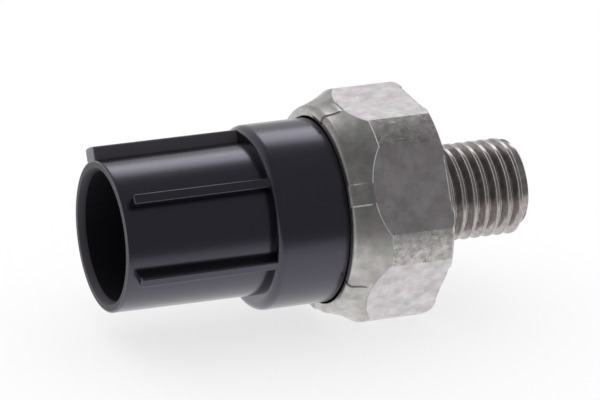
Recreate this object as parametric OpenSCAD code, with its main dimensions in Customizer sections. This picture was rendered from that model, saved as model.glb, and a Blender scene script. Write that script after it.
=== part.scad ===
// Screw-in oil pressure sender with a round two-blade connector.
// The axis is X: the seating face is at x = 0, the threaded stud points to +X
// and the connector mouth to -X. Angles turn about X from +Y towards +Z.

/* [Threaded stud] */
// Major diameter of the metric fine thread
stud_d = 10; // [8:0.5:12]
// Length of the stud from the seating face to its tip
stud_len = 11; // [9:0.5:16]
// Chamfer at the stud's tip
stud_chamfer = 0.7; // [0.3:0.1:1]
// Diameter of the oil port through the stud
port_d = 3; // [2:0.25:4]

/* [Hexagon] */
// Width of the hexagon across its flats
hex_af = 22; // [21.8:0.1:24]
// Height that the six turned-down corners keep over the flats
corner_rise = 0.85; // [0.7:0.05:1.5]
// Length of the hexagon from its seat end to the start of the crimp
hex_len = 6.6; // [6.2:0.1:10]
// Edge break at the seat end of the hexagon
hex_break = 0.3; // [0.1:0.05:0.6]
// Diameter of the raised seating face
seat_d = 20.6; // [18:0.2:21]
// Height of the raised seating face
seat_h = 0.8; // [0.4:0.1:1.5]

/* [Crimp] */
// Wall of the body round the housing's flange, under the hexagon's flats
rim_wall = 1; // [0.9:0.05:1.1]
// Length of the crimp from the hexagon's corners to the lip's edge
crimp_len = 3.5; // [3.2:0.1:4]
// Wall of the crimp round the flange, where its lip starts to roll over
crimp_wall = 0.55; // [0.4:0.05:0.75]
// Crown of the crimp between its lip and the hexagon's corners
crimp_crown = 0.12; // [0:0.02:0.2]
// Radius of the lip's rolled edge
lip_roll = 0.6; // [0.3:0.05:0.65]
// Length of the lip that is folded over the housing's flange
lip_len = 1.5; // [1:0.1:1.8]
// Width of the strip that stays proud between two neighbouring jaws
strip_w = 2; // [1:0.1:3]
// Height of that strip over what the jaws press
strip_rise = 0.15; // [0.05:0.05:0.25]
// Radial gap between the lip and the collar
lip_gap = 0.14; // [0.05:0.01:0.2]

/* [Connector shroud] */
// Step from the collar down to the shroud at its mouth
shroud_step = 1.71; // [1.5:0.01:2]
// Length of the shroud from its mouth to the collar
shroud_len = 15.1; // [13:0.1:20]
// Moulding draft of the shroud in degrees
shroud_draft = 0.5; // [0:0.1:1]
// Wall of the shroud at its mouth
shroud_wall = 1.1; // [0.9:0.05:1.3]
// Radial width of the lead-in at the mouth
lead_w = 0.35; // [0.1:0.05:0.5]
// Depth of the lead-in at the mouth
lead_depth = 0.7; // [0.3:0.1:1.2]
// Small round at the shroud's outer mouth edge and in its root at the collar
shroud_root = 0.4; // [0.2:0.1:0.8]

/* [Collar] */
// Step from the flange under the crimp down to the collar
flange_step = 0.64; // [0.6:0.01:0.75]
// Length of the collar that shows in front of the crimp
collar_len = 7.5; // [6.5:0.1:10]
// Round at the collar's front edge
collar_round = 0.9; // [0.4:0.1:1.2]

/* [Ribs] */
// Height of the ribs over the shroud at its mouth
rib_rise = 1.3; // [1:0.05:1.5]
// Width of the key rib
key_w = 2.6; // [1.6:0.1:4]
// Width of the four guide ribs
rib_w = 1; // [0.6:0.1:1.6]
// Distance from the mouth to the start of the guide ribs
rib_setback = 1; // [0.5:0.1:3]
// Angle of the key rib about the axis
key_angle = 62.5; // [0:0.5:90]
// Angle from the key rib to the near pair of guide ribs
rib_angle_near = 70.8; // [50:0.1:80]
// Angle from the key rib to the far pair of guide ribs
rib_angle_far = 126.7; // [110:0.1:150]

/* [Terminals] */
// Width of the terminal blades
blade_w = 2.8; // [2:0.1:3.2]
// Thickness of the terminal strip
blade_t = 0.8; // [0.5:0.05:0.9]
// Distance between the two blades
blade_pitch = 6.4; // [6:0.1:7]
// Length of the blades in the socket
blade_len = 8.5; // [6:0.1:10]
// Chamfer at the tips of the blades
blade_chamfer = 0.25; // [0.1:0.05:0.25]
// Distance between the two terminal legs beside the contacts
leg_pitch = 10.8; // [10.6:0.1:11]
// Thickness of the sealant at the socket's floor
sealant_t = 0.8; // [0.4:0.1:1.2]
// Diameter of the sealant's pocket
sealant_d = 10.8; // [10:0.1:11.6]

/* [Housing flange and chamber] */
// Height of the flange
flange_h = 2.4; // [2:0.1:2.8]
// Diameter of the contact chamber
chamber_d = 12.8; // [12.6:0.1:13.4]
// Depth of the contact chamber
chamber_len = 7.9; // [7.5:0.1:9]
// Thickness of the wall between the contact chamber and the socket
partition_t = 2.6; // [2.2:0.1:4]
// Radial height of the housing seal
seal_w = 1.3; // [1:0.05:1.4]
// Width of the housing seal along the axis
seal_h = 1.3; // [0.9:0.05:1.5]

/* [Contacts] */
// Distance between the two fixed contacts
contact_pitch = 6.8; // [6.6:0.1:7.2]
// Diameter of the contact heads
contact_d = 2; // [1.6:0.1:2.2]
// Height of the contact heads
contact_h = 0.4; // [0.3:0.05:0.6]
// Diameter of the contact rivet shanks
shank_d = 1.2; // [0.8:0.1:1.4]
// Length of the rivet shanks in the contact base
shank_len = 1.2; // [0.8:0.1:1.6]
// Length of the contact bridge
bridge_len = 9; // [8.8:0.1:9.2]
// Width of the contact bridge
bridge_w = 2.6; // [2.2:0.1:3]
// Thickness of the contact bridge
bridge_t = 0.5; // [0.3:0.05:0.6]

/* [Plunger and spring] */
// Diameter of the plunger's stem
plunger_d = 2.5; // [2:0.1:3]
// Diameter of the plunger's nose, which carries the bridge
nose_d = 1.6; // [1.2:0.1:1.8]
// Length of the nose
nose_len = 1.8; // [1.2:0.1:2.4]
// Travel of the plunger under oil pressure
travel = 0.5; // [0.2:0.05:0.6]
// Mean diameter of the return spring
spring_d = 3.2; // [2.8:0.1:3.6]
// Wire diameter of the return spring
wire_d = 0.45; // [0.3:0.05:0.5]
// Number of turns of the return spring
spring_turns = 7; // [5:0.5:9]
// Depth of the spring's pocket in the housing
spring_pocket = 0.6; // [0.3:0.1:1]

/* [Diaphragm stack] */
// Diameter of the bore that holds the diaphragm stack
stack_d = 16; // [15.6:0.1:16.6]
// Thickness of the contact base
base_h = 2.2; // [2:0.1:2.8]
// Thickness of the clamp ring
clamp_t = 1; // [0.8:0.1:1.4]
// Thickness of the diaphragm film
film_t = 0.2; // [0.1:0.05:0.3]
// Diameter of the pressure chamber under the diaphragm
cell_d = 8.2; // [8:0.1:9]
// Depth of the pressure chamber
cell_depth = 0.8; // [0.4:0.1:1]
// Diameter of the pressure plate on the diaphragm
plate_d = 7.4; // [6.5:0.1:7.6]
// Thickness of the pressure plate
plate_t = 0.8; // [0.5:0.05:0.9]
// Mean diameter of the diaphragm gasket
gasket_d = 13.2; // [12.4:0.1:13.6]
// Width of the diaphragm gasket
gasket_w = 1.5; // [1:0.1:1.6]
// Height of the diaphragm gasket
gasket_h = 1; // [0.7:0.1:1.2]

/* [Clearances] */
// Radial clearance of pieces that are dropped into a bore
drop_gap = 0.05; // [0.02:0.01:0.1]
// Radial running clearance of the plunger in the contact base
run_gap = 0.05; // [0.02:0.01:0.1]
// Radial clearance of the return spring in its pocket
pocket_gap = 0.2; // [0.1:0.05:0.4]
// Gap that is left over the pressure plate at full travel
stop_gap = 0.1; // [0.05:0.05:0.2]

/* [Hidden] */
$fn = 96;
// An overlap for cuts that run out of a face
over = 1;
// Places of the faces along the axis, from the seat to the mouth
x_hex = -seat_h;
x_crimp = x_hex - hex_len;
x_lip = x_crimp - crimp_len;
x_shoulder = x_lip + lip_len;
x_ledge = x_shoulder + flange_h;
x_floor = x_ledge + base_h + clamp_t + film_t;
x_step = x_lip - collar_len;
x_mouth = x_step - shroud_len;
x_chamber = x_ledge - chamber_len;
x_socket = x_chamber - partition_t;
// Places of the moving stack along the axis
x_film = x_floor - film_t;
x_clamp = x_film - clamp_t;
x_plate = x_film - plate_t;
x_fixed = x_ledge - blade_t - contact_h;
x_bridge = x_fixed - contact_h;
x_spring = x_bridge - bridge_t;
x_pocket = x_chamber - spring_pocket;
// Radius of the bore that the flange drops into, and sizes that step down from it to the mouth
flange_bore = hex_af / 2 - rim_wall;
flange_d = 2 * (flange_bore - drop_gap);
collar_d = flange_d - 2 * flange_step;
lip_bore = collar_d / 2 + lip_gap;
shroud_d = collar_d - 2 * shroud_step;
socket_d = shroud_d - 2 * shroud_wall;
rib_d = shroud_d + 2 * rib_rise;
// Radius of the hexagon's corners, and of the crimp where its lip starts to roll over
hex_corner = hex_af / 2 + corner_rise;
crimp_neck = flange_bore + crimp_wall;
// Number of straight steps in a small turned round
round_steps = 6;
// Sides of the spring's wire and rings in one of its turns
wire_sides = 8;
turn_rings = 24;

// Turns a profile about the part's axis: its first value is the radius, its second is x
module turned() {
    rotate([0, 90, 0])
        rotate_extrude()
            children();
}

// A disc or bar along the axis between two places
module bar(from, to, d) {
    translate([from, 0, 0])
        rotate([0, 90, 0])
            cylinder(h = to - from, d = d);
}

// Points of a quarter round about a centre, from one angle to another
function round_points(r, x, radius, start, end) = [
    for (i = [0 : round_steps])
        let (a = start + (end - start) * i / round_steps)
            [r + radius * cos(a), x + radius * sin(a)]
];

// Outline of the crimp from its rolled lip to the hexagon's corners, raised over what the jaws press
function crimp_outline(rise) = concat(
    round_points(crimp_neck - lip_roll, x_lip + lip_roll, lip_roll + rise, -90, 0),
    [
        for (i = [1 : round_steps])
            let (t = i / round_steps)
                [
                    crimp_neck + (hex_corner - crimp_neck) * t + crimp_crown * sin(180 * t) + rise,
                    x_lip + lip_roll + (crimp_len - lip_roll) * t
                ]
    ]
);

// Outside of the body, turned: rolled lip, crimp, hexagon corners, seat and stud
module body_profile() {
    polygon(concat(
        [[0, x_lip]],
        crimp_outline(0),
        [[hex_corner, x_hex - hex_break], [hex_corner - hex_break, x_hex]],
        [[seat_d / 2, x_hex], [seat_d / 2, 0], [stud_d / 2, 0]],
        [[stud_d / 2, stud_len - stud_chamfer], [stud_d / 2 - stud_chamfer, stud_len], [0, stud_len]]
    ));
}

// Strips that stay proud between neighbouring jaws, one on the middle of each flat
module jaw_strips() {
    for (i = [0 : 5])
        rotate([60 * i + 30, 0, 0])
            intersection() {
                turned()
                    polygon(concat(crimp_outline(strip_rise), [[crimp_neck - lip_roll, x_crimp]]));
                translate([x_lip - over, 0, -strip_w / 2])
                    cube([crimp_len + over, hex_af, strip_w]);
                bar(x_lip - over, x_crimp, hex_af - strip_rise);
            }
}

// Hexagon bar that the body is turned from, with its flats up and down
module hexagon() {
    translate([x_lip - over, 0, 0])
        rotate([0, 90, 0])
            rotate([0, 0, 30])
                cylinder(h = stud_len - x_lip + 2 * over, d = hex_af / cos(30), $fn = 6);
}

// Edge break along the six flats at the seat end of the hexagon
module break_edges() {
    half = hex_af / 2;
    for (i = [0 : 5])
        rotate([60 * i + 30, 0, 0])
            translate([0, 0, -half])
                linear_extrude(hex_af)
                    polygon([
                        [x_hex - hex_break, half], [x_hex, half - hex_break], [x_hex + over, half - hex_break],
                        [x_hex + over, half + over], [x_hex - hex_break, half + over]
                    ]);
}

// Steel body: stud, seat and hexagon, with its rim crimped over the housing's flange
module hex_body() {
    color("#a9a7a6")
    difference() {
        union() {
            intersection() {
                turned() body_profile();
                hexagon();
            }
            jaw_strips();
        }
        break_edges();
        // Oil port, pressure chamber and gasket groove
        bar(x_floor - over, stud_len + over, port_d);
        bar(x_floor - over, x_floor + cell_depth, cell_d);
        difference() {
            bar(x_floor - over, x_floor + gasket_h, gasket_d + gasket_w);
            bar(x_floor - 2 * over, x_floor + gasket_h + over, gasket_d - gasket_w);
        }
        // Bores for the diaphragm stack and the housing's flange, and the lip's own bore
        bar(x_ledge - over, x_floor, stack_d);
        bar(x_shoulder, x_ledge, 2 * flange_bore);
        bar(x_lip - over, x_shoulder + over / 2, 2 * lip_bore);
    }
}

// One rib along the shroud at an angle from the key rib
module rib(angle, width, start) {
    rotate([angle, 0, 0])
        intersection() {
            bar(start, x_step + collar_round, rib_d);
            translate([start, shroud_d / 4, -width / 2])
                cube([x_step + collar_round - start, rib_d / 2, width]);
        }
}

// Outside of the housing: drafted shroud, collar with a round front edge, and flange
module housing_profile() {
    root = shroud_d / 2 + tan(shroud_draft) * shroud_len;
    collar = collar_d / 2;
    polygon(concat(
        [[0, x_mouth]],
        round_points(shroud_d / 2 - shroud_root / 2, x_mouth + shroud_root / 2, shroud_root / 2, -90, 0),
        round_points(root + shroud_root, x_step - shroud_root, shroud_root, 180, 90),
        round_points(collar - collar_round, x_step + collar_round, collar_round, -90, 0),
        [[collar, x_shoulder], [flange_d / 2, x_shoulder]],
        [[flange_d / 2, x_ledge - seal_h], [flange_bore - seal_w, x_ledge - seal_h]],
        [[flange_bore - seal_w, x_ledge], [0, x_ledge]]
    ));
}

// Slots that the terminals are moulded into
module blade_slots(from, to) {
    for (side = [-1, 1])
        rotate([key_angle, 0, 0])
            translate([from, -blade_w / 2, side * blade_pitch / 2 - blade_t / 2])
                cube([to - from, blade_w, blade_t]);
}

// Moulded connector housing, in one piece with its ribs, collar and flange
module connector_housing() {
    color("#26262b")
    difference() {
        union() {
            turned() housing_profile();
            rib(key_angle, key_w, x_mouth);
            for (side = [-1, 1]) {
                rib(key_angle + side * rib_angle_near, rib_w, x_mouth + rib_setback);
                rib(key_angle + side * rib_angle_far, rib_w, x_mouth + rib_setback);
            }
        }
        // Socket with its lead-in
        bar(x_mouth - over, x_socket, socket_d);
        turned()
            polygon([
                [0, x_mouth - over], [socket_d / 2 + lead_w + lead_w * over / lead_depth, x_mouth - over],
                [socket_d / 2, x_mouth + lead_depth], [0, x_mouth + lead_depth]
            ]);
        // Sealant pocket, contact chamber and spring pocket
        bar(x_socket - over, x_socket + sealant_t, sealant_d);
        bar(x_chamber, x_ledge + over, chamber_d);
        bar(x_pocket, x_chamber + over, spring_d + wire_d + 2 * pocket_gap);
        blade_slots(x_socket - over, x_chamber + over);
    }
}

// Folded terminal strip: blade, jog into the chamber, leg, and foot under the contact
module terminal(turn) {
    tip = x_socket - blade_len;
    inner = blade_pitch / 2 - blade_t / 2;
    outer = leg_pitch / 2 + blade_t / 2;
    foot = contact_pitch / 2 - contact_d / 2;
    rotate([key_angle + turn, 0, 0])
    difference() {
        intersection() {
            translate([0, blade_w / 2, 0])
                rotate([90, 0, 0])
                    linear_extrude(blade_w)
                        polygon([
                            [tip, inner + blade_chamfer], [tip + 2 * blade_chamfer, inner],
                            [x_chamber + blade_t, inner], [x_chamber + blade_t, outer - blade_t],
                            [x_ledge - blade_t, outer - blade_t], [x_ledge - blade_t, foot],
                            [x_ledge, foot], [x_ledge, outer], [x_chamber, outer],
                            [x_chamber, inner + blade_t],
                            [tip + 2 * blade_chamfer, inner + blade_t],
                            [tip, inner + blade_t - blade_chamfer]
                        ]);
            linear_extrude(leg_pitch)
                polygon([
                    [tip, -blade_w / 2 + 2 * blade_chamfer], [tip + 2 * blade_chamfer, -blade_w / 2],
                    [x_ledge, -blade_w / 2], [x_ledge, blade_w / 2],
                    [tip + 2 * blade_chamfer, blade_w / 2], [tip, blade_w / 2 - 2 * blade_chamfer]
                ]);
        }
        translate([0, 0, contact_pitch / 2])
            bar(x_ledge - blade_t - over, x_ledge + over, shank_d);
    }
}

module signal_terminal() {
    color("#c9b26a")
        terminal(0);
}

module ground_terminal() {
    color("#c9b26a")
        terminal(180);
}

// Sealant poured round the blades at the socket's floor
module terminal_sealant() {
    color("#3a3d42")
    difference() {
        bar(x_socket, x_socket + sealant_t, sealant_d);
        blade_slots(x_socket - over, x_socket + sealant_t + over);
    }
}

// Section of a squeezed seal: a rectangle with round corners
module seal_section(r, x, width, height) {
    round = min(width, height) / 3;
    polygon(concat(
        round_points(r + round, x + round, round, 180, 270),
        round_points(r + width - round, x + round, round, 270, 360),
        round_points(r + width - round, x + height - round, round, 0, 90),
        round_points(r + round, x + height - round, round, 90, 180)
    ));
}

// Ring seal between the housing's flange and the body
module housing_seal() {
    color("#1f2a22")
        turned() seal_section(flange_bore - seal_w, x_ledge - seal_h, seal_w, seal_h);
}

// Insulating base that guides the plunger and carries the fixed contacts
module contact_base() {
    color("#7a4a2c")
    difference() {
        bar(x_ledge, x_clamp, stack_d - 2 * drop_gap);
        // Room for the pressure plate at full travel
        bar(x_plate - travel - stop_gap, x_clamp + over, cell_d);
        bar(x_ledge - over, x_clamp + over, plunger_d + 2 * run_gap);
        for (turn = [0, 180])
            at_contact(turn)
                bar(x_ledge - over, x_ledge + shank_len, shank_d);
    }
}

// Moves a piece from the axis to one of the two contacts
module at_contact(turn) {
    rotate([key_angle + turn, 0, 0])
        translate([0, 0, contact_pitch / 2])
            children();
}

// Fixed contact: a rivet through the terminal's foot into the base
module fixed_contact(turn) {
    at_contact(turn) {
        bar(x_fixed, x_ledge - blade_t, contact_d);
        bar(x_ledge - blade_t, x_ledge + shank_len, shank_d);
    }
}

module signal_contact() {
    color("#d8d8d4")
        fixed_contact(0);
}

module ground_contact() {
    color("#d8d8d4")
        fixed_contact(180);
}

// Moving contact: a rivet through one end of the bridge
module moving_contact(turn) {
    at_contact(turn) {
        bar(x_bridge, x_fixed, contact_d);
        bar(x_spring, x_bridge, shank_d);
    }
}

module bridge_contact_signal() {
    color("#d8d8d4")
        moving_contact(0);
}

module bridge_contact_ground() {
    color("#d8d8d4")
        moving_contact(180);
}

// Copper bridge that joins the two contacts, carried on the plunger's nose
module contact_bridge() {
    color("#b87743")
    difference() {
        rotate([key_angle, 0, 0])
            translate([x_spring, -bridge_w / 2, -bridge_len / 2])
                cube([bridge_t, bridge_w, bridge_len]);
        bar(x_spring - over, x_bridge + over, nose_d + 2 * run_gap);
        for (turn = [0, 180])
            at_contact(turn)
                bar(x_spring - over, x_bridge + over, shank_d);
    }
}

// Insulating plunger: stem through the base, shoulder under the bridge, and nose
module plunger() {
    color("#e4dfd2") {
        bar(x_bridge, x_plate, plunger_d);
        bar(x_bridge - nose_len, x_bridge, nose_d);
    }
}

// Steel plate that spreads the plunger's load over the diaphragm
module pressure_plate() {
    color("#b9bcc0")
        bar(x_plate, x_film, plate_d);
}

// Height of the spring's centre line above its start, with one closed turn at each end
function spring_rise(turn, height) =
    let (pitch = (height - 2 * wire_d) / (spring_turns - 2))
    turn < 1 ? wire_d * turn
    : turn < spring_turns - 1 ? wire_d + pitch * (turn - 1)
    : height - wire_d * (spring_turns - turn);

// Coil spring between the bridge and the housing
module return_spring() {
    height = x_spring - x_pocket - wire_d;
    rings = spring_turns * turn_rings;
    points = [
        for (i = [0 : rings], k = [0 : wire_sides - 1])
            let (
                turn = i / turn_rings,
                a = 360 * turn,
                b = 360 * (k + 0.5) / wire_sides,
                r = spring_d / 2 + wire_d / 2 * cos(b)
            )
            [
                x_pocket + wire_d / 2 + spring_rise(turn, height) + wire_d / 2 * sin(b),
                r * cos(a),
                r * sin(a)
            ]
    ];
    sides = [
        for (i = [0 : rings - 1], k = [0 : wire_sides - 1])
            let (next = (k + 1) % wire_sides)
            [
                i * wire_sides + k, i * wire_sides + next,
                (i + 1) * wire_sides + next, (i + 1) * wire_sides + k
            ]
    ];
    ends = [
        [for (k = [wire_sides - 1 : -1 : 0]) k],
        [for (k = [0 : wire_sides - 1]) rings * wire_sides + k]
    ];
    color("#9ea3a8")
        polyhedron(points, concat(sides, ends));
}

// Steel ring that clamps the diaphragm against its gasket
module clamp_ring() {
    color("#b9bcc0")
    difference() {
        bar(x_clamp, x_film, stack_d - 2 * drop_gap);
        bar(x_clamp - over, x_film + over, cell_d);
    }
}

// Film diaphragm over the pressure chamber
module diaphragm() {
    color("#c8862a")
        bar(x_film, x_floor, stack_d - 2 * drop_gap);
}

// Ring gasket between the diaphragm and the body
module diaphragm_gasket() {
    color("#1f2a22")
        turned() seal_section((gasket_d - gasket_w) / 2, x_floor, gasket_w, gasket_h);
}

hex_body();
connector_housing();
signal_terminal();
ground_terminal();
terminal_sealant();
housing_seal();
contact_base();
signal_contact();
ground_contact();
contact_bridge();
bridge_contact_signal();
bridge_contact_ground();
plunger();
pressure_plate();
return_spring();
clamp_ring();
diaphragm();
diaphragm_gasket();
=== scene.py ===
# Looks of a screw-in oil pressure sender with a round two-blade connector.
# The axis is X: the seating face is at x = 0, the stud points to +X and the connector's mouth to -X.
# Angles turn about X from +Y towards +Z. Sizes are in millimetres until they enter a mesh.
import math

import bmesh
import bpy
from mathutils import Matrix, Vector


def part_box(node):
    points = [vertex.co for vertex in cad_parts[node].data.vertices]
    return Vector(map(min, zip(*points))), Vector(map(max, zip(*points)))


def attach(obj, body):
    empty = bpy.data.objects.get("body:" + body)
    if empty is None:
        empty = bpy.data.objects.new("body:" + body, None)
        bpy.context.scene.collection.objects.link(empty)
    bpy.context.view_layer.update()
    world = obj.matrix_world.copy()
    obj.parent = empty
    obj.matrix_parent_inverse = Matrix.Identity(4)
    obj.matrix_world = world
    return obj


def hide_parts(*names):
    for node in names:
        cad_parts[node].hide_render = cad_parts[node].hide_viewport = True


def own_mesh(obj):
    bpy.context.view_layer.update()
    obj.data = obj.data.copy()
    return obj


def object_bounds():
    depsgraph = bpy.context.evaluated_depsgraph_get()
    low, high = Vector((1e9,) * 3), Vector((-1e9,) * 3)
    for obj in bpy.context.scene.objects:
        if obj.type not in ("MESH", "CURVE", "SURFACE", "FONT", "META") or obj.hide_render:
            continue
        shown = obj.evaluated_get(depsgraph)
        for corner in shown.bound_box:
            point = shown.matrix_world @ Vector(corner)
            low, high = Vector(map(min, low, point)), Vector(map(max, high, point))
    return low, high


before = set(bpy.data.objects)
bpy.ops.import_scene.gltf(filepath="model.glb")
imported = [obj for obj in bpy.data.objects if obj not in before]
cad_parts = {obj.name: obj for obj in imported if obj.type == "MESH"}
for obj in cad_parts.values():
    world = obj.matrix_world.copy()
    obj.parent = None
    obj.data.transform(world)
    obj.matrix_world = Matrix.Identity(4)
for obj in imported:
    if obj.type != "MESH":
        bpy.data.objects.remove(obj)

MM = 0.001
BODY = "sender_body"
cad_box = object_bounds()


def corners(name):
    """Lowest and highest corner of a construction node, in millimetres."""
    low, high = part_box(name)
    return Vector(low) / MM, Vector(high) / MM


# Places along the axis that the construction gives
x_tip = corners("hex_body")[1].x
housing_low, housing_high = corners("connector_housing")
x_mouth = housing_low.x
x_ledge = housing_high.x

# Steel body
hex_half = 11.0
corner_r = 11.84
x_hex = -0.55
x_crimp = -7.4
x_lip = -10.9
x_shoulder = -9.4
seat_r = 10.3
seat_round = 0.18
seat_groove = 0.06
hex_round = 0.5
seat_break = 0.3
lip_bore_r = 9.46
lip_bore_round = 0.12
flange_bore_r = 10.0
stack_r = 8.0
x_floor = -3.6
cell_r = 4.1
cell_depth = 0.8
port_r = 1.5
tip_break = 0.2
root_round = 0.3
neck_r = 10.55
lip_roll = 0.6
crimp_hollow = 0.32
# Height that the middle of each jaw's print keeps over its sides
jaw_crown = 0.22
strip_width = 2.0
strip_rise = 0.13
strip_slope = 0.2
# A painted highlight line runs round the crimp where it meets the hexagon: a pale strip that stands in for light
# caught by that edge
line_width = 0.1
line_inset = 0.45 * line_width
line_bore_rise = 0.3
# Height over the lip's bore from which a face counts as outside
crimp_clear = 0.15
# Faces inside this radius belong to the stud's core and the bores
inner_face_r = 9.4
# Thread of the stud
pitch = 1.25
crest_r = 4.93
core_r = 4.24
crest_width = 0.36
flank_angle = math.radians(30)
thread_phase = 0.49
x_thread = 1.0
x_chamfer = 10.3
# The ridge stands in the core by thread_foot, and rises out of it from x_fade on
thread_foot = 0.12
fade_depth = 0.15
x_fade = 0.55
fade_slope = 1.1
crest_break = 0.05
# Width of the painted highlight strip along each crest edge
crest_highlight_width = 0.07
# Moulded housing
shroud_r = 7.6
shroud_draft = math.radians(0.5)
collar_r = 9.31
collar_round = 0.9
x_step = -18.4
x_socket = -17.5
x_chamber = -14.9
socket_r = 6.5
socket_round = 0.2
chamber_r = 6.4
flange_r = 9.95
rim_round = 0.2
lead_width = 0.35
lead_depth = 0.7
seal_inner_r = 8.7
seal_height = 1.3
# Ribs: angle, width and distance from the mouth
rib_top_r = 8.9
rib_foot_depth = 0.15
rib_break = 0.18
key_angle = 62.5
# Room beside the key's middle, distance out along it, and tilt of a face that lies on its flank
key_half = 1.4
key_reach = 7.0
flank_tilt = 0.7
RIBS = [(key_angle, 2.6, 0.0)]
RIBS += [(key_angle + side * angle, 1.0, 1.0) for angle in (70.8, 126.7) for side in (-1, 1)]
# Places of the finishes in each piece's material list
# The painted highlight finish is a pale strip that stands in for light caught by edges
FLAT, CORNER, CRIMP, PAINTED_HIGHLIGHT, BORE = range(5)
CREST_HIGHLIGHT = 1
SOCKET_SHADE, PAINTED_LIGHT = 1, 2


def linear(hex_colour):
    """Linear colour of an sRGB hex value."""
    parts = [int(hex_colour[i:i + 2], 16) / 255 for i in (1, 3, 5)]
    return tuple(p / 12.92 if p <= 0.04045 else ((p + 0.055) / 1.055) ** 2.4 for p in parts) + (1.0,)


def add(tree, kind, inputs=(), **settings):
    """Adds one node, sets its settings, and gives each named input a value or a link."""
    node = tree.nodes.new(kind)
    for key, value in settings.items():
        setattr(node, key, value)
    for key, value in dict(inputs).items():
        if isinstance(value, bpy.types.NodeSocket):
            tree.links.new(value, node.inputs[key])
        else:
            node.inputs[key].default_value = value
    return node


def start_material(name):
    """A new material with its shader, and Object coordinates in millimetres."""
    material = bpy.data.materials.new(name)
    material.use_nodes = True
    tree = material.node_tree
    shader = tree.nodes["Principled BSDF"]
    place = add(tree, "ShaderNodeTexCoord").outputs["Object"]
    scaled = add(tree, "ShaderNodeMapping", {"Vector": place, "Scale": (1 / MM, 1 / MM, 1 / MM)})
    return material, tree, shader, scaled.outputs["Vector"]


def set_stops(ramp, stops):
    """Gives a colour ramp its (position, colour) stops."""
    elements = ramp.color_ramp.elements
    elements[0].position, elements[0].color = stops[0]
    elements[1].position, elements[1].color = stops[-1]
    for position, colour in stops[1:-1]:
        elements.new(position).color = colour


def plated_steel(name, tones, patch_mm, pit_mm, pit_share, grain, roughness, relief,
                 nicks=0.0, metallic=1.0):
    """Zinc plate over mild steel: cloudy grey patches with a pink and green cast, pits and fine tool lines.

    tones are the dark, middle and pale grey of the patches. pit_share says how much of the surface is pitted.
    grain stretches the tool lines: small values along an axis draw them out along it. nicks is how strongly
    short bright scratches show.
    """
    material, tree, shader, in_mm = start_material(name)
    patches = add(tree, "ShaderNodeTexNoise",
                  {"Vector": in_mm, "Scale": 1 / patch_mm, "Detail": 6, "Roughness": 0.6})
    grey = add(tree, "ShaderNodeValToRGB", {"Fac": patches.outputs["Fac"]})
    set_stops(grey, [(place, linear(tone)) for place, tone in zip((0.36, 0.5, 0.66), tones)])
    # Passivation leaves a faint pink and green cast in patches of a few millimetres
    cast = add(tree, "ShaderNodeTexNoise", {"Vector": in_mm, "Scale": 0.4, "Detail": 3})
    cast_tones = add(tree, "ShaderNodeValToRGB", {"Fac": cast.outputs["Fac"]})
    set_stops(cast_tones, [(0.4, linear("#b9beb7")), (0.6, linear("#c6b8bc"))])
    tinted = add(tree, "ShaderNodeMix", {0: 0.5, 6: grey.outputs["Color"], 7: cast_tones.outputs["Color"]},
                 data_type="RGBA", blend_type="SOFT_LIGHT")
    # Pits: small dark cells, only where a coarse pattern lets them
    cells = add(tree, "ShaderNodeTexVoronoi", {"Vector": in_mm, "Scale": 1 / pit_mm, "Randomness": 1.0})
    pit = add(tree, "ShaderNodeMapRange",
              {"Value": cells.outputs["Distance"], "From Min": 0.08, "From Max": 0.3,
               "To Min": 1.0, "To Max": 0.0})
    where = add(tree, "ShaderNodeTexNoise", {"Vector": in_mm, "Scale": 1.1, "Detail": 3})
    near = add(tree, "ShaderNodeMapRange", {"Value": where.outputs["Fac"], "From Min": 0.68 - 0.3 * pit_share,
                                            "From Max": 0.78 - 0.3 * pit_share})
    pitted = add(tree, "ShaderNodeMath", {0: pit.outputs["Result"], 1: near.outputs["Result"]},
                 operation="MULTIPLY")
    coloured = add(tree, "ShaderNodeMix",
                   {0: pitted.outputs["Value"], 6: tinted.outputs[2], 7: linear("#4a4442")}, data_type="RGBA")
    # Nicks lie along the part, about 0.2 mm wide and up to 1 mm long
    nick_place = add(tree, "ShaderNodeMapping",
                     {"Vector": in_mm, "Rotation": (0, 0.3, 0.2), "Scale": (1.1, 4.0, 4.0)})
    nick = add(tree, "ShaderNodeTexNoise", {"Vector": nick_place.outputs["Vector"], "Scale": 1.0, "Detail": 3})
    bright = add(tree, "ShaderNodeMapRange",
                 {"Value": nick.outputs["Fac"], "From Min": 0.64, "From Max": 0.7,
                  "To Min": 0.0, "To Max": nicks})
    scratched = add(tree, "ShaderNodeMix",
                    {0: bright.outputs["Result"], 6: coloured.outputs[2], 7: linear("#f2efec")}, data_type="RGBA")
    tree.links.new(scratched.outputs[2], shader.inputs["Base Color"])
    lines_place = add(tree, "ShaderNodeMapping", {"Vector": in_mm, "Scale": grain})
    lines = add(tree, "ShaderNodeTexNoise", {"Vector": lines_place.outputs["Vector"], "Scale": 1.0, "Detail": 4})
    dull = add(tree, "ShaderNodeMapRange", {"Value": patches.outputs["Fac"], "From Min": 0.3, "From Max": 0.7,
                                            "To Min": roughness + 0.05, "To Max": roughness - 0.05})
    tree.links.new(dull.outputs["Result"], shader.inputs["Roughness"])
    height = add(tree, "ShaderNodeMath", {0: lines.outputs["Fac"], 1: pitted.outputs["Value"]},
                 operation="SUBTRACT")
    bump = add(tree, "ShaderNodeBump",
               {"Height": height.outputs["Value"], "Strength": relief, "Distance": 0.06 * MM})
    tree.links.new(bump.outputs["Normal"], shader.inputs["Normal"])
    shader.inputs["Metallic"].default_value = metallic
    return material


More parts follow.
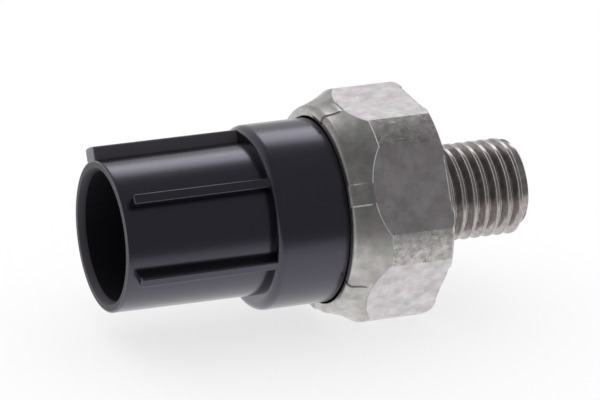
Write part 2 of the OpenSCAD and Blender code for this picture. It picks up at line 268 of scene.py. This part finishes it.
def moulded_nylon(name, dark, pale, roughness, specular):
    """Black glass-filled nylon, moulded: near black with a violet cast, a satin skin and fine flow marks."""
    material, tree, shader, in_mm = start_material(name)
    cloud = add(tree, "ShaderNodeTexNoise", {"Vector": in_mm, "Scale": 0.35, "Detail": 4})
    colour = add(tree, "ShaderNodeMix", {0: cloud.outputs["Fac"], 6: linear(dark), 7: linear(pale)},
                 data_type="RGBA")
    tree.links.new(colour.outputs[2], shader.inputs["Base Color"])
    # Flow marks run along the part, about 0.4 mm apart
    flow_place = add(tree, "ShaderNodeMapping", {"Vector": in_mm, "Scale": (0.15, 2.5, 2.5)})
    flow = add(tree, "ShaderNodeTexNoise", {"Vector": flow_place.outputs["Vector"], "Scale": 1.0, "Detail": 3})
    sheen = add(tree, "ShaderNodeMapRange", {"Value": flow.outputs["Fac"], "From Min": 0.3, "From Max": 0.7,
                                             "To Min": roughness - 0.03, "To Max": roughness + 0.04})
    tree.links.new(sheen.outputs["Result"], shader.inputs["Roughness"])
    # Spark-eroded grain of about 0.12 mm
    grain = add(tree, "ShaderNodeTexNoise", {"Vector": in_mm, "Scale": 8.0, "Detail": 3})
    bump = add(tree, "ShaderNodeBump",
               {"Height": grain.outputs["Fac"], "Strength": 0.12, "Distance": 0.04 * MM})
    tree.links.new(bump.outputs["Normal"], shader.inputs["Normal"])
    shader.inputs["Specular IOR Level"].default_value = specular
    shader.inputs["Specular Tint"].default_value = linear("#ebe4ff")
    shader.inputs["IOR"].default_value = 1.53
    return material


def inner_finish(name, first, second, metallic, roughness, grain_mm, relief):
    """A finish of a small or hidden piece: two close tones, and a grain of its own size."""
    material, tree, shader, in_mm = start_material(name)
    cloud = add(tree, "ShaderNodeTexNoise", {"Vector": in_mm, "Scale": 1 / (4 * grain_mm), "Detail": 4})
    colour = add(tree, "ShaderNodeMix", {0: cloud.outputs["Fac"], 6: linear(first), 7: linear(second)},
                 data_type="RGBA")
    tree.links.new(colour.outputs[2], shader.inputs["Base Color"])
    grain = add(tree, "ShaderNodeTexNoise", {"Vector": in_mm, "Scale": 1 / grain_mm, "Detail": 3})
    worn = add(tree, "ShaderNodeMapRange", {"Value": grain.outputs["Fac"], "From Min": 0.3, "From Max": 0.7,
                                            "To Min": roughness - 0.05, "To Max": roughness + 0.05})
    tree.links.new(worn.outputs["Result"], shader.inputs["Roughness"])
    bump = add(tree, "ShaderNodeBump",
               {"Height": grain.outputs["Fac"], "Strength": relief, "Distance": 0.03 * MM})
    tree.links.new(bump.outputs["Normal"], shader.inputs["Normal"])
    shader.inputs["Metallic"].default_value = metallic
    return material


def spin_outline(bm, outline, steps):
    """Turns an outline of (x, radius) points in millimetres about the axis."""
    points = [bm.verts.new((x * MM, r * MM, 0)) for x, r in outline]
    edges = [bm.edges.new(pair) for pair in zip(points, points[1:])]
    if outline[0][1] > 0:
        edges.append(bm.edges.new((points[-1], points[0])))
    bmesh.ops.spin(bm, geom=points + edges, cent=(0, 0, 0), axis=(1, 0, 0), angle=2 * math.pi, steps=steps,
                   use_merge=True)
    bmesh.ops.remove_doubles(bm, verts=bm.verts, dist=0.002 * MM)
    bmesh.ops.recalc_face_normals(bm, faces=bm.faces)


def arc(x, r, radius, start, end, steps=6):
    """Points of a round in the (x, radius) plane: 0 degrees points to +X and 90 outwards."""
    turns = [math.radians(start + (end - start) * i / steps) for i in range(steps + 1)]
    return [(x + radius * math.cos(t), r + radius * math.sin(t)) for t in turns]


def stretch(start, end, steps):
    """Evenly spaced points from one point to another, without the last."""
    return [tuple(s + (e - s) * i / steps for s, e in zip(start, end)) for i in range(steps)]


def finish_piece(name, bm, materials, smooth_angle=30):
    """Makes an object of a closed mesh: smooth faces, sharp edges past an angle, and its body."""
    limit = math.radians(smooth_angle)
    for face in bm.faces:
        face.smooth = True
    for edge in bm.edges:
        edge.smooth = len(edge.link_faces) == 2 and edge.calc_face_angle(0) < limit
    mesh = bpy.data.meshes.new(name)
    bm.to_mesh(mesh)
    bm.free()
    for material in materials:
        mesh.materials.append(material)
    piece = bpy.data.objects.new(name, mesh)
    bpy.context.scene.collection.objects.link(piece)
    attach(piece, BODY)
    return piece


def body_outline():
    """Outline of the steel body: lip, crimp, corners, seat, stud core, port, bores and back to the lip."""
    outline = [(x_shoulder, lip_bore_r), (x_lip + lip_bore_round, lip_bore_r)]
    outline += arc(x_lip + lip_bore_round, lip_bore_r + lip_bore_round, lip_bore_round, 270, 180, 3)[1:]
    outline += arc(x_lip + lip_roll, neck_r - lip_roll, lip_roll, 180, 90, 10)
    # The jaws leave the crimp slightly hollow between the lip and the corners
    crimp_steps = 24
    for step in range(1, crimp_steps + 1):
        part = step / crimp_steps
        outline.append((x_lip + lip_roll + (x_crimp - x_lip - lip_roll) * part,
                        neck_r + (corner_r - neck_r) * part - crimp_hollow * math.sin(math.pi * part)))
    outline += [(x_crimp + line_width, corner_r)]
    outline += stretch((x_crimp + 0.4, corner_r), (x_hex - hex_round, corner_r), 12)
    outline += arc(x_hex - hex_round, corner_r - hex_round, hex_round, 90, 0, 6)
    outline += [(x_hex, seat_r + 0.35), (x_hex - seat_groove, seat_r + 0.2)]
    outline += [(x_hex - seat_groove, seat_r + 0.05), (x_hex, seat_r)]
    outline += arc(-seat_round, seat_r - seat_round, seat_round, 90, 0, 4)
    outline += [(0, core_r + 0.4)]
    outline += arc(root_round, core_r + root_round, root_round, 180, 270, 4)
    outline += [(x_tip - tip_break, core_r), (x_tip, core_r - tip_break)]
    outline += [(x_tip, port_r + tip_break), (x_tip - tip_break, port_r)]
    outline += [(x_floor + cell_depth, port_r), (x_floor + cell_depth, cell_r), (x_floor, cell_r)]
    outline += [(x_floor, stack_r), (x_ledge, stack_r), (x_ledge, flange_bore_r), (x_shoulder, flange_bore_r)]
    return outline


def across_axis(degrees):
    """The directions outwards at an angle about the axis, and beside it."""
    turn = math.radians(degrees)
    return Vector((0, math.cos(turn), math.sin(turn))), Vector((0, -math.sin(turn), math.cos(turn)))


def cut_flats(bm):
    """Cuts the hexagon's six flats and closes each cut with one flat face."""
    for k in range(6):
        out = across_axis(60 * k + 30)[0]
        cut = bmesh.ops.bisect_plane(bm, geom=bm.verts[:] + bm.edges[:] + bm.faces[:], dist=1e-8,
                                     plane_co=out * hex_half * MM, plane_no=out, clear_outer=True)
        rim = [part for part in cut["geom_cut"] if isinstance(part, bmesh.types.BMEdge)]
        bmesh.ops.edgeloop_fill(bm, edges=rim)


def flat_distance(point):
    """How far a point lies out along the nearest flat's normal, and how far it lies beside its middle."""
    turn = math.atan2(point.z, point.y)
    middle = math.radians(60 * round((math.degrees(turn) - 30) / 60) + 30)
    radius = math.hypot(point.y, point.z)
    return radius * math.cos(turn - middle), radius * math.sin(turn - middle)


def on_crimp(point):
    """Whether a point in millimetres lies on the outside of the crimp."""
    return point.x < x_crimp + 0.01 and math.hypot(point.y, point.z) > lip_bore_r + crimp_clear


def cut_crimp(bm):
    """Cuts the crimp along the strips between the jaws, and just inside the flats for the painted highlight line.
    """
    for k in range(6):
        out, beside = across_axis(60 * k + 30)
        planes = [(out, hex_half - line_inset)]
        planes += [(beside, side * (strip_width / 2 + step)) for side in (-1, 1) for step in (0.0, strip_slope)]
        for normal, distance in planes:
            part = [f for f in bm.faces if f.calc_center_median().dot(out) > 9 * MM
                    and on_crimp(f.calc_center_median() / MM)]
            edges = {e for f in part for e in f.edges}
            verts = {v for f in part for v in f.verts}
            bmesh.ops.bisect_plane(bm, geom=list(verts) + list(edges) + part, dist=1e-8,
                                   plane_co=normal * distance * MM, plane_no=normal)


def crown_prints(bm):
    """Leaves each jaw's print a little higher in its middle, over the hexagon's corner, than at its sides."""
    for vert in bm.verts:
        if not on_crimp(vert.co / MM) or vert.co.x < (x_lip + lip_roll) * MM:
            continue
        part = (vert.co.x / MM - x_lip - lip_roll) / (x_crimp - x_lip - lip_roll)
        turn = math.atan2(vert.co.z, vert.co.y) - math.radians(30)
        radius = math.hypot(vert.co.y, vert.co.z) / MM
        raised = jaw_crown * math.sin(math.pi * min(1.0, part)) * (1 - math.cos(6 * turn)) / 2
        vert.co.y *= 1 + raised / radius
        vert.co.z *= 1 + raised / radius


def raise_strips(bm):
    """Lifts the strip that stays proud between two neighbouring jaws, on the middle of each flat."""
    for vert in bm.verts:
        x = vert.co.x / MM
        radius = math.hypot(vert.co.y, vert.co.z) / MM
        beside = abs(flat_distance(vert.co)[1]) / MM
        on_strip = radius >= neck_r - lip_roll - 0.01 and beside <= strip_width / 2 + 0.01
        if not (on_crimp(vert.co / MM) and on_strip):
            continue
        turn = math.pi / 2
        if x < x_lip + lip_roll:
            turn = math.atan2(radius - neck_r + lip_roll, x_lip + lip_roll - x)
        higher = max(radius, min(radius + strip_rise * math.sin(turn), hex_half - strip_rise / 2))
        vert.co.x -= strip_rise * math.cos(turn) * MM
        vert.co.y *= higher / radius
        vert.co.z *= higher / radius


def break_seat_edges(bm):
    """Breaks the edges of the six flats at the seat end of the hexagon."""
    sharp = []
    for edge in bm.edges:
        on_flat = all(abs(flat_distance(v.co)[0] - hex_half * MM) < 0.003 * MM for v in edge.verts)
        if on_flat and all(abs(v.co.x - x_hex * MM) < 0.003 * MM for v in edge.verts):
            sharp.append(edge)
    bmesh.ops.bevel(bm, geom=sharp, offset=seat_break * MM, offset_type="OFFSET", affect="EDGES", segments=3,
                    profile=0.5, material=-1, clamp_overlap=False)


def steel_body(flats, corners_turned, crimp, painted_highlight, bore):
    """The turned, plated and crimped steel body with a plain stud core."""
    bm = bmesh.new()
    spin_outline(bm, body_outline(), 288)
    crown_prints(bm)
    cut_crimp(bm)
    raise_strips(bm)
    cut_flats(bm)
    break_seat_edges(bm)
    for face in bm.faces:
        middle = face.calc_center_median() / MM
        radius = math.hypot(middle.y, middle.z)
        out, beside = flat_distance(middle)
        on_flat = out > hex_half - 0.003
        beside_flat = out > hex_half - line_inset and abs(beside) > strip_width / 2
        if on_flat:
            face.material_index = FLAT
        elif on_crimp(middle):
            # Painted highlight: faces beside the flats, round the lip's bore and by the crimp's edge get a pale
            # finish that stands in for light caught by those edges
            face.material_index = PAINTED_HIGHLIGHT if beside_flat or radius < lip_bore_r + line_bore_rise else CRIMP
        elif x_crimp < middle.x < x_crimp + line_width and radius > hex_half:
            face.material_index = PAINTED_HIGHLIGHT
        elif middle.x < x_hex and radius > hex_half:
            face.material_index = CORNER
        elif radius < inner_face_r and middle.x < x_tip - tip_break / 2:
            face.material_index = BORE
    finishes = [flats, corners_turned, crimp, painted_highlight, bore]
    piece = finish_piece("steel_body", bm, finishes, 15)
    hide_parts("hex_body")


def thread_ridge(flank, crest_highlight):
    """The rolled thread: one ridge that winds round the stud's core, faded out at both ends."""
    steps_per_turn = 120
    turns = (x_tip - x_thread) / pitch + 1
    depth = crest_r - core_r + thread_foot
    foot = crest_width / 2 + depth * math.tan(flank_angle)
    section = [(-foot, core_r - thread_foot), (-crest_width / 2, crest_r), (crest_width / 2, crest_r),
               (foot, core_r - thread_foot)]
    bm = bmesh.new()
    x_start = thread_phase + pitch * math.floor((x_thread - thread_phase) / pitch)
    points = [bm.verts.new(((x_start + x) * MM, r * MM, 0)) for x, r in section]
    bm.faces.new(points)
    bmesh.ops.bevel(bm, geom=[points[1], points[2]], offset=crest_break * MM, offset_type="OFFSET",
                    affect="VERTICES", segments=2, profile=0.5, material=-1)
    section_faces = bm.faces[:]
    bmesh.ops.spin(bm, geom=section_faces, cent=(0, 0, 0), axis=(1, 0, 0),
                   dvec=(pitch / steps_per_turn * MM, 0, 0), angle=turns * 2 * math.pi,
                   steps=int(turns * steps_per_turn), use_duplicate=False)
    bmesh.ops.recalc_face_normals(bm, faces=bm.faces)
    for vert in bm.verts:
        radius = math.hypot(vert.co.y, vert.co.z)
        x = vert.co.x / MM
        risen = core_r - fade_depth + max(0.0, x - x_fade) * fade_slope
        limit = min(risen, crest_r - max(0.0, x - x_chamfer)) * MM
        if radius > limit:
            vert.co.y *= limit / radius
            vert.co.z *= limit / radius
        vert.co.x = min(vert.co.x, (x_tip - 0.02) * MM)
    for face in bm.faces:
        middle = face.calc_center_median() / MM
        radius = math.hypot(middle.y, middle.z)
        side = (middle.x - thread_phase - pitch * math.atan2(middle.z, middle.y) / (2 * math.pi)) % pitch
        side = min(side, pitch - side)
        # Painted highlight: faces along each crest edge get the pale finish, standing in for light caught by the
        # crest's corners
        if radius > crest_r - crest_highlight_width and abs(side - crest_width / 2) < crest_highlight_width:
            face.material_index = CREST_HIGHLIGHT
    finish_piece("stud_thread", bm, [flank, crest_highlight], 50)


def housing_outline():
    """Outline of the moulding: socket floor, lead-in, rim, shroud, collar, flange and contact chamber."""
    root = shroud_r + math.tan(shroud_draft) * (x_step - x_mouth)
    outline = [(x_socket, 0), (x_socket, socket_r - socket_round)]
    outline += arc(x_socket - socket_round, socket_r - socket_round, socket_round, 0, 90, 3)
    outline += [(x_mouth + lead_depth, socket_r), (x_mouth + 0.05, socket_r + lead_width - 0.03)]
    outline += [(x_mouth, socket_r + lead_width + 0.03)]
    outline += arc(x_mouth + rim_round, shroud_r - rim_round, rim_round, 180, 90, 6)
    outline += stretch((x_mouth + 0.5, shroud_r + 0.005), (x_step, root), 8) + [(x_step, root)]
    outline += arc(x_step + collar_round, collar_r - collar_round, collar_round, 180, 90, 12)
    outline += [(x_shoulder, collar_r), (x_shoulder, flange_r), (x_ledge - seal_height, flange_r)]
    outline += [(x_ledge - seal_height, seal_inner_r), (x_ledge, seal_inner_r), (x_ledge, chamber_r)]
    outline += [(x_chamber, chamber_r), (x_chamber, 0)]
    return outline


def add_rib(bm, angle, width, setback):
    """One rib: a bar whose top follows the rib circle, with small rounds, set at its angle."""
    length = x_step + collar_round - x_mouth - setback
    rib = bmesh.new()
    bmesh.ops.create_cube(rib, size=1)
    foot_r = shroud_r - rib_foot_depth
    bmesh.ops.scale(rib, vec=(length * MM, (rib_top_r - foot_r) * MM, width * MM), verts=rib.verts)
    bmesh.ops.translate(rib, vec=((x_mouth + setback + length / 2) * MM, (rib_top_r + foot_r) / 2 * MM, 0),
                        verts=rib.verts)
    across = [e for e in rib.edges if abs(e.verts[0].co.z - e.verts[1].co.z) > 0.5 * width * MM]
    bmesh.ops.subdivide_edges(rib, edges=across, cuts=5, use_grid_fill=True)
    top = 0.99 * rib_top_r * MM
    for vert in rib.verts:
        if vert.co.y > top:
            vert.co.y = math.sqrt((rib_top_r * MM) ** 2 - vert.co.z ** 2)
    start = (x_mouth + setback) * MM + 1e-6
    sharp = [e for e in rib.edges if e.calc_face_angle(0) > math.radians(45)]
    rims = [e for e in sharp if all(v.co.y > 0.97 * rib_top_r * MM for v in e.verts)]
    rims += [e for e in sharp if all(v.co.x < start for v in e.verts) and e not in rims]
    bmesh.ops.bevel(rib, geom=rims, offset=rib_break * MM, offset_type="OFFSET", affect="EDGES", segments=3,
                    profile=0.5, material=-1, clamp_overlap=True)
    bmesh.ops.rotate(rib, cent=(0, 0, 0), matrix=Matrix.Rotation(math.radians(angle), 3, "X"), verts=rib.verts)
    copy = bpy.data.meshes.new("rib")
    rib.to_mesh(copy)
    rib.free()
    bm.from_mesh(copy)
    bpy.data.meshes.remove(copy)


def on_key_flank(face, middle):
    """Whether a face, with its middle in millimetres, lies on one of the key's long flanks."""
    out, beside = across_axis(key_angle)
    on_key = middle.dot(out) > key_reach and abs(middle.dot(beside)) < key_half
    clear_of_shroud = math.hypot(middle.y, middle.z) > shroud_r + 0.1 and middle.x < x_step
    return on_key and clear_of_shroud and abs(face.normal.dot(beside)) > flank_tilt


def housing(nylon, shaded_socket_nylon, painted_light_nylon):
    """The moulded connector housing with its key rib and guide ribs."""
    bm = bmesh.new()
    spin_outline(bm, housing_outline(), 256)
    for angle, width, setback in RIBS:
        add_rib(bm, angle, width, setback)
    for face in bm.faces:
        middle = face.calc_center_median() / MM
        radius = math.hypot(middle.y, middle.z)
        on_rim = middle.x < x_mouth + lead_depth - 0.02 and radius < shroud_r - rim_round
        # Painted light: the rim, lead-in and key's flanks get a paler copy of the nylon that stands in for light
        # falling on them
        if on_rim or on_key_flank(face, middle):
            face.material_index = PAINTED_LIGHT
        # Painted shade: the socket's inside gets a darker, duller copy of the nylon that stands in for the shade
        # in the recess
        elif radius < socket_r + 0.05 and middle.x < x_socket + 0.1:
            face.material_index = SOCKET_SHADE
    piece = finish_piece("housing", bm, [nylon, shaded_socket_nylon, painted_light_nylon], 32)
    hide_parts("connector_housing")


def return_spring(wire):
    """The return spring: the construction's own coil, in a mesh of its own."""
    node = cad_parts["return_spring"]
    bm = bmesh.new()
    bm.from_mesh(node.data)
    bm.transform(node.matrix_world)
    piece = finish_piece("spring", bm, [wire], 50)
    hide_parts("return_spring")
    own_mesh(piece)


def dress_inner_nodes():
    """Gives each construction node that stays its finish, and the spring its own."""
    brass = inner_finish("tin-flashed brass, stamped", "#b3a06a", "#c9bd92", 1.0, 0.3, 0.25, 0.1)
    resin = inner_finish("epoxy potting resin, cured", "#15161a", "#1f2126", 0.0, 0.2, 1.5, 0.3)
    rubber = inner_finish("nitrile rubber, moulded matt", "#161816", "#232624", 0.0, 0.7, 0.1, 0.3)
    phenolic = inner_finish("phenolic resin, moulded", "#4a2a19", "#63391f", 0.0, 0.45, 0.2, 0.2)
    silver = inner_finish("silver alloy, headed", "#c9c8c2", "#dcdbd6", 1.0, 0.28, 0.1, 0.1)
    copper = inner_finish("copper alloy, rolled", "#b06f4c", "#c98a62", 1.0, 0.3, 0.2, 0.1)
    ceramic = inner_finish("steatite ceramic, fired", "#d9d3c4", "#e8e3d6", 0.0, 0.4, 0.15, 0.15)
    steel = inner_finish("mild steel, stamped", "#8c8f93", "#a3a6a9", 1.0, 0.35, 0.2, 0.15)
    wire = inner_finish("spring steel, drawn", "#6f7377", "#8a8e91", 1.0, 0.3, 0.08, 0.15)
    film = inner_finish("polyimide film, calendered", "#a8641c", "#c07a26", 0.0, 0.2, 0.5, 0.05)
    finishes = {
        "signal_terminal": brass, "ground_terminal": brass, "terminal_sealant": resin, "housing_seal": rubber,
        "contact_base": phenolic, "signal_contact": silver, "ground_contact": silver, "contact_bridge": copper,
        "bridge_contact_signal": silver, "bridge_contact_ground": silver, "plunger": ceramic,
        "pressure_plate": steel, "clamp_ring": steel, "diaphragm": film, "diaphragm_gasket": rubber,
    }
    return_spring(wire)
    for name, finish in finishes.items():
        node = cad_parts[name]
        for slot in node.material_slots:
            slot.material = finish


def camera():
    """The photograph's camera: place, direction, roll and lens."""
    azimuth, elevation, roll = (math.radians(d) for d in (-23.610, 23.443, 2.643))
    place = Vector((-175.911, -374.109, 178.288)) * MM
    right = Vector((math.cos(azimuth), math.sin(azimuth), 0))
    back = Vector((math.sin(azimuth) * math.cos(elevation), -math.cos(azimuth) * math.cos(elevation),
                   math.sin(elevation)))
    up = back.cross(right)
    side = right * math.cos(roll) + up * math.sin(roll)
    top = up * math.cos(roll) - right * math.sin(roll)
    lens = bpy.data.cameras.new("camera")
    lens.sensor_width = 36
    lens.lens = 266.93
    lens.clip_start = 0.01
    lens.clip_end = 50
    eye = bpy.data.objects.new("camera", lens)
    eye.matrix_world = Matrix.Translation(place) @ Matrix((side, top, back)).transposed().to_4x4()
    bpy.context.scene.collection.objects.link(eye)
    bpy.context.scene.camera = eye


def seen_directly(tree):
    """Sockets that are 1 for rays that show the studio, and 1 for glossy rays alone."""
    path = add(tree, "ShaderNodeLightPath")
    glossy = path.outputs["Is Glossy Ray"]
    first = add(tree, "ShaderNodeMath", {0: path.outputs["Is Camera Ray"], 1: glossy}, operation="MAXIMUM")
    both = add(tree, "ShaderNodeMath", {0: first.outputs["Value"], 1: path.outputs["Is Transmission Ray"]},
               operation="MAXIMUM")
    return both.outputs["Value"], glossy


def studio_world():
    """White surroundings with a softbox behind the object, and a dim side towards the camera."""
    world = bpy.data.worlds.new("studio")
    bpy.context.scene.world = world
    world.use_nodes = True
    tree = world.node_tree
    tree.nodes.clear()
    seen, glossy = seen_directly(tree)
    direction = add(tree, "ShaderNodeTexCoord").outputs["Generated"]
    bright_side = add(tree, "ShaderNodeVectorMath", {0: direction, 1: (-0.2, 0.94, -0.27)},
                      operation="DOT_PRODUCT")
    level = add(tree, "ShaderNodeMapRange",
                {"Value": bright_side.outputs["Value"], "From Min": -1, "From Max": 1})
    tent = add(tree, "ShaderNodeValToRGB", {"Fac": level.outputs["Result"]})
    set_stops(tent, [(0.1, (0.27, 0.27, 0.275, 1)), (0.46, (0.26, 0.26, 0.265, 1)),
                     (0.62, (0.55, 0.55, 0.56, 1)), (0.8, (0.74, 0.74, 0.745, 1))])
    # The softbox stands 41 degrees high behind the object
    towards_box = add(tree, "ShaderNodeVectorMath", {0: direction, 1: (0.37, 0.65, 0.66)},
                      operation="DOT_PRODUCT")
    box = add(tree, "ShaderNodeMapRange",
              {"Value": towards_box.outputs["Value"], "From Min": 0.95, "From Max": 0.995,
               "To Min": 0.0, "To Max": 3.4}, interpolation_type="SMOOTHSTEP")
    strength = add(tree, "ShaderNodeMath", {0: box.outputs["Result"], 1: glossy, 2: 1.0},
                   operation="MULTIPLY_ADD")
    shown = add(tree, "ShaderNodeMix", {0: glossy, 6: (1, 1, 1, 1), 7: tent.outputs["Color"]}, data_type="RGBA")
    white = add(tree, "ShaderNodeBackground",
                {"Color": shown.outputs[2], "Strength": strength.outputs["Value"]})
    light = add(tree, "ShaderNodeBackground", {"Color": tent.outputs["Color"], "Strength": 1.15})
    either = add(tree, "ShaderNodeMixShader", {0: seen, 1: light.outputs[0], 2: white.outputs[0]})
    add(tree, "ShaderNodeOutputWorld", {"Surface": either.outputs[0]})


def studio_floor():
    """A pale floor that reads white and keeps the object's soft shadow.

    Reflections see it white under and behind the object, and dim towards the camera.
    """
    bm = bmesh.new()
    bmesh.ops.create_circle(bm, cap_ends=True, segments=96, radius=4)
    bmesh.ops.translate(bm, vec=(0, 0, cad_box[0][2]), verts=bm.verts)
    mesh = bpy.data.meshes.new("floor")
    bm.to_mesh(mesh)
    bm.free()
    material = bpy.data.materials.new("floor, matt white board")
    material.use_nodes = True
    tree = material.node_tree
    tree.nodes.clear()
    seen, glossy = seen_directly(tree)
    board = add(tree, "ShaderNodeBsdfDiffuse", {"Color": linear("#999999")})
    fill = add(tree, "ShaderNodeMath", {0: seen, 1: 0.72}, operation="MULTIPLY")
    glow = add(tree, "ShaderNodeEmission", {"Color": (1, 1, 1, 1), "Strength": fill.outputs["Value"]})
    both = add(tree, "ShaderNodeAddShader", {0: board.outputs[0], 1: glow.outputs[0]})
    place = add(tree, "ShaderNodeTexCoord").outputs["Object"]
    towards_back = add(tree, "ShaderNodeSeparateXYZ", {"Vector": place}).outputs["Y"]
    table = add(tree, "ShaderNodeMapRange",
                {"Value": towards_back, "From Min": -75 * MM, "From Max": -15 * MM,
                 "To Min": 0.28, "To Max": 1.15}, interpolation_type="SMOOTHSTEP")
    white = add(tree, "ShaderNodeEmission", {"Color": (1, 1, 1, 1), "Strength": table.outputs["Result"]})
    either = add(tree, "ShaderNodeMixShader", {0: glossy, 1: both.outputs[0], 2: white.outputs[0]})
    add(tree, "ShaderNodeOutputMaterial", {"Surface": either.outputs[0]})
    mesh.materials.append(material)
    floor = bpy.data.objects.new("floor", mesh)
    bpy.context.scene.collection.objects.link(floor)


def studio_lamps():
    """A very broad overhead light that leaves only a faint shadow and no highlight of its own."""
    lamp = bpy.data.lights.new("overhead", "SUN")
    lamp.energy = 1.5
    lamp.angle = math.radians(120)
    holder = bpy.data.objects.new("overhead", lamp)
    holder.rotation_euler = Vector((0.1, 0.35, 1)).to_track_quat("Z", "Y").to_euler()
    holder.visible_glossy = False
    bpy.context.scene.collection.objects.link(holder)


flat_finish = plated_steel("zinc plated steel, drawn bar", ("#b0acae", "#bcb8ba", "#c8c5c7"), 1.4, 0.3, 0.2,
                           (0.4, 3.0, 3.0), 0.36, 0.12, nicks=0.15)
corner_finish = plated_steel("zinc plated steel, rough turned corners", ("#a09d9c", "#b4b1b0", "#c9c6c5"),
                             0.7, 0.3, 0.55, (2.5, 2.5, 2.5), 0.42, 0.45, nicks=0.5)
crimp_finish = plated_steel("zinc plated steel, pressed smooth", ("#9b9b98", "#a8a7a5", "#b6b4b2"),
                            1.6, 0.5, 0.1, (4.0, 0.5, 0.5), 0.38, 0.2, nicks=0.1)
thread_finish = plated_steel("zinc plated steel, rolled thread", ("#948f8e", "#a09b9a", "#aeaaa9"),
                             0.7, 0.4, 0.1, (3.0, 0.6, 0.6), 0.21, 0.2)
# Painted highlight: a near-white, barely metallic finish for thin strips along edges, standing in for light
# caught there
painted_highlight_finish = plated_steel("zinc plated steel, burnished edge", ("#d8d6d2", "#e4e2df", "#efeeeb"),
                                1.0, 0.4, 0.0, (2.0, 2.0, 2.0), 0.4, 0.1, metallic=0.15)
nylon = moulded_nylon("black glass-filled nylon, moulded satin", "#0b0b0c", "#111113", 0.22, 0.9)
# Painted shade: a darker, matt copy of the nylon with weak reflection, standing in for the shade inside the
# socket
shaded_socket_nylon = moulded_nylon("black glass-filled nylon, matt in the socket", "#0a0a0c", "#0d0d10", 0.7, 0.2)
# Painted light: a grey, matt copy of the black nylon, standing in for light that falls on the rim and the key's
# flanks
painted_light_nylon = moulded_nylon("black glass-filled nylon, matt at the rim and key", "#423f42", "#4b484b",
                           0.55, 0.4)

steel_body(flat_finish, corner_finish, crimp_finish, painted_highlight_finish, thread_finish)
thread_ridge(thread_finish, painted_highlight_finish)
housing(nylon, shaded_socket_nylon, painted_light_nylon)
dress_inner_nodes()
camera()
studio_world()
studio_floor()
studio_lamps()
bpy.context.scene.view_settings.view_transform = "Standard"
